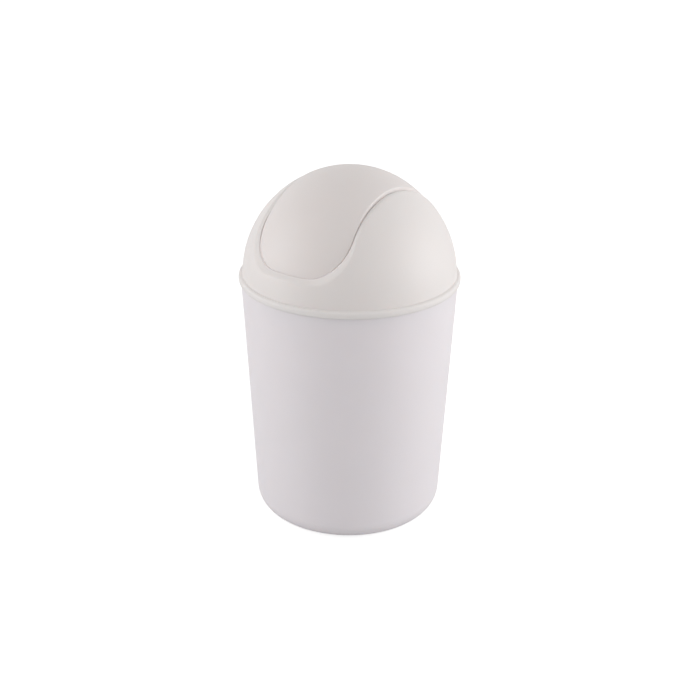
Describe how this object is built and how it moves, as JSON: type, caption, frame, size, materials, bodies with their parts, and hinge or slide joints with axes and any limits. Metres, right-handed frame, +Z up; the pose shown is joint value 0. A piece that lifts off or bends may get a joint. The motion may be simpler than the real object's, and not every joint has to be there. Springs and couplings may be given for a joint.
{
  "type": "countertop trash can",
  "caption": "Small round countertop trash can: tapered body, lift-off domed hood with a half-round bead at its foot, and a band-shaped flap that swings both ways on moulded pins.",
  "frame": {"origin": "centre of the base, on the worktop", "axes": "+Z up along the bin's axis; the flap's tongues face -Y (front) and +Y (back); the pivot axis is parallel to X"},
  "size_m": [0.13, 0.13, 0.2134],
  "materials": {
    "body_plastic": "satin white polypropylene",
    "hood_plastic": "satin white polypropylene",
    "flap_plastic": "satin white polypropylene"
  },
  "bodies": {
    "bin": {"bin_body": "body_plastic"},
    "lid": {"lid_hood": "hood_plastic"},
    "flap": {"swing_flap": "flap_plastic"}
  },
  "joints": [
    {"name": "lid_lift", "type": "slide", "parent": "bin", "child": "lid", "axis": [0, 0, 1], "range_m": [0, 0.08]},
    {"name": "flap_swing", "type": "hinge", "parent": "lid", "child": "flap", "pos_m": [0, 0, 0.1964], "axis": [1, 0, 0], "range_deg": [-90, 90]}
  ]
}
